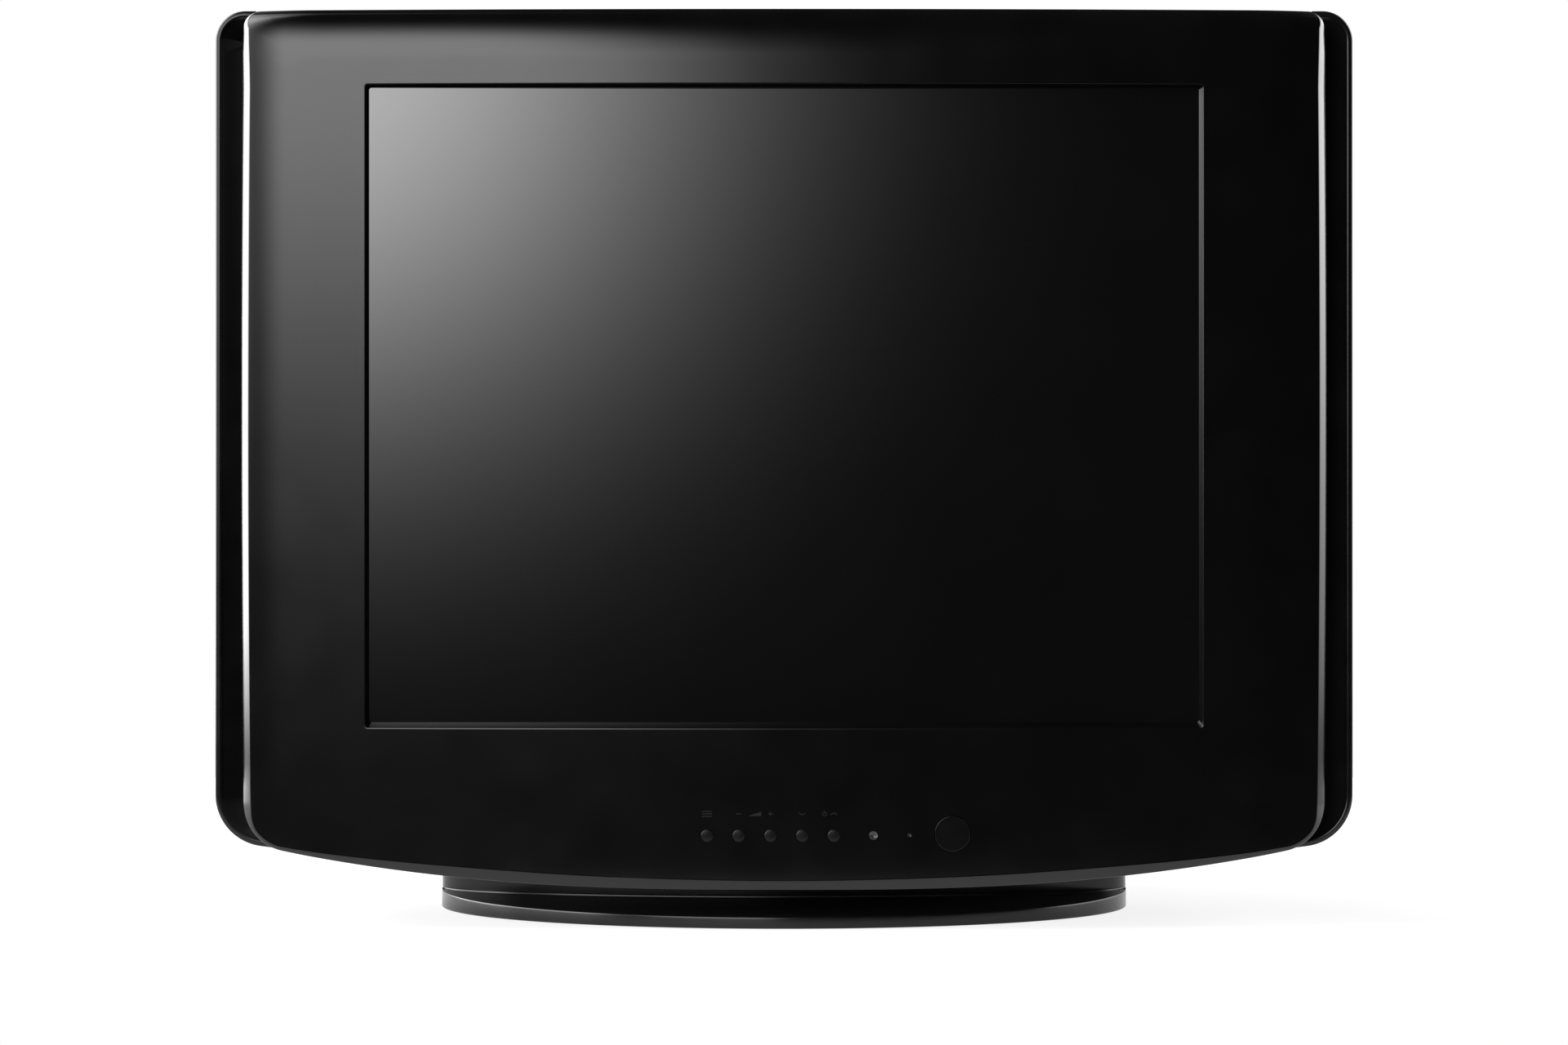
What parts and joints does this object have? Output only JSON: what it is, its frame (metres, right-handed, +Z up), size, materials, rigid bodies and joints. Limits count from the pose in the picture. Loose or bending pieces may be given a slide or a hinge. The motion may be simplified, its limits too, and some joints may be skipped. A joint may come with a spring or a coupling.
{
  "type": "cathode ray tube television",
  "caption": "Flat-screen cathode ray tube television on an oval stand, with push keys, a power button, a screwed rear cover and a complete picture tube and chassis inside.",
  "frame": {"origin": "on the table under the middle of the set's bounding box, at the underside of the rubber feet", "axes": "+X to the viewer's right, +Y from the screen to the back, +Z up"},
  "size_m": [0.565, 0.3511, 0.4535],
  "materials": {
    "gloss_black": "high gloss black moulded styrene",
    "cabinet_black": "polished black moulded styrene",
    "cover_black": "fine grained black moulded styrene",
    "key_black": "satin black",
    "rubber": "matt black rubber",
    "lens": "smoked clear acrylic",
    "screen_glass": "tinted polished glass",
    "funnel_glass": "glass with black graphite coat",
    "steel": "zinc plated steel",
    "dark_steel": "blackened thin steel",
    "gun_steel": "stainless grids",
    "socket_plastic": "moulded nylon",
    "yoke_plastic": "natural moulded plastic",
    "ferrite": "dark sintered ferrite",
    "copper": "enamelled copper wire",
    "coil_tape": "taped coil",
    "board": "brown phenolic circuit board",
    "inner_plastic": "black moulded plastic",
    "aluminium": "extruded",
    "transformer": "taped winding in a ferrite frame",
    "speaker_steel": "pressed steel basket",
    "cone_paper": "pressed black paper"
  },
  "bodies": {
    "set": {"front_panel": "gloss_black", "front_cabinet": "cabinet_black", "rear_cover": "cover_black", "cord_gland": "rubber", "stand_neck": "cabinet_black", "stand_foot": "cabinet_black", "rubber_feet": "rubber", "stand_screws": "steel", "power_switch": "socket_plastic", "key_board": "board", "board_screws": "steel", "tact_switches": "socket_plastic", "sensor_lens": "lens", "infrared_receiver": "inner_plastic", "lamp_guide": "lens", "standby_lamp": "lens", "crt_faceplate": "screen_glass", "crt_funnel": "funnel_glass", "rim_band": "steel", "crt_screws": "steel", "shadow_mask": "dark_steel", "mask_frame": "dark_steel", "mask_springs": "steel", "inner_shield": "dark_steel", "electron_gun": "gun_steel", "tube_base": "socket_plastic", "tube_socket": "socket_plastic", "neck_board": "board", "line_coils": "copper", "yoke_housing": "yoke_plastic", "yoke_core": "ferrite", "frame_coils": "copper", "yoke_clamp": "steel", "magnet_rings": "socket_plastic", "degauss_coil": "coil_tape", "anode_cap": "rubber", "anode_lead": "rubber", "chassis_frame": "inner_plastic", "main_board": "board", "flyback_transformer": "inner_plastic", "line_heatsink": "aluminium", "power_heatsink": "aluminium", "power_transformer": "transformer", "filter_capacitor": "aluminium", "jack_panel": "inner_plastic", "tuner": "steel", "speaker_right": "speaker_steel", "speaker_left": "speaker_steel", "speaker_cones": "cone_paper", "panel_screws": "steel", "cover_screws": "steel"},
    "key_menu": {"key_menu": "key_black"},
    "key_volume_down": {"key_volume_down": "key_black"},
    "key_volume_up": {"key_volume_up": "key_black"},
    "key_channel_down": {"key_channel_down": "key_black"},
    "key_channel_up": {"key_channel_up": "key_black"},
    "power_button": {"power_button": "key_black", "power_switch_plunger": "socket_plastic"}
  },
  "joints": [
    {"name": "key_menu_press", "type": "slide", "parent": "set", "child": "key_menu", "axis": [0, 1, 0], "range_m": [0, 0.0006], "stiffness_N_per_m": 1500},
    {"name": "key_volume_down_press", "type": "slide", "parent": "set", "child": "key_volume_down", "axis": [0, 1, 0], "range_m": [0, 0.0006], "stiffness_N_per_m": 1500},
    {"name": "key_volume_up_press", "type": "slide", "parent": "set", "child": "key_volume_up", "axis": [0, 1, 0], "range_m": [0, 0.0006], "stiffness_N_per_m": 1500},
    {"name": "key_channel_down_press", "type": "slide", "parent": "set", "child": "key_channel_down", "axis": [0, 1, 0], "range_m": [0, 0.0006], "stiffness_N_per_m": 1500},
    {"name": "key_channel_up_press", "type": "slide", "parent": "set", "child": "key_channel_up", "axis": [0, 1, 0], "range_m": [0, 0.0006], "stiffness_N_per_m": 1500},
    {"name": "power_button_press", "type": "slide", "parent": "set", "child": "power_button", "axis": [0, 1, 0], "range_m": [0, 0.0035], "stiffness_N_per_m": 600}
  ]
}
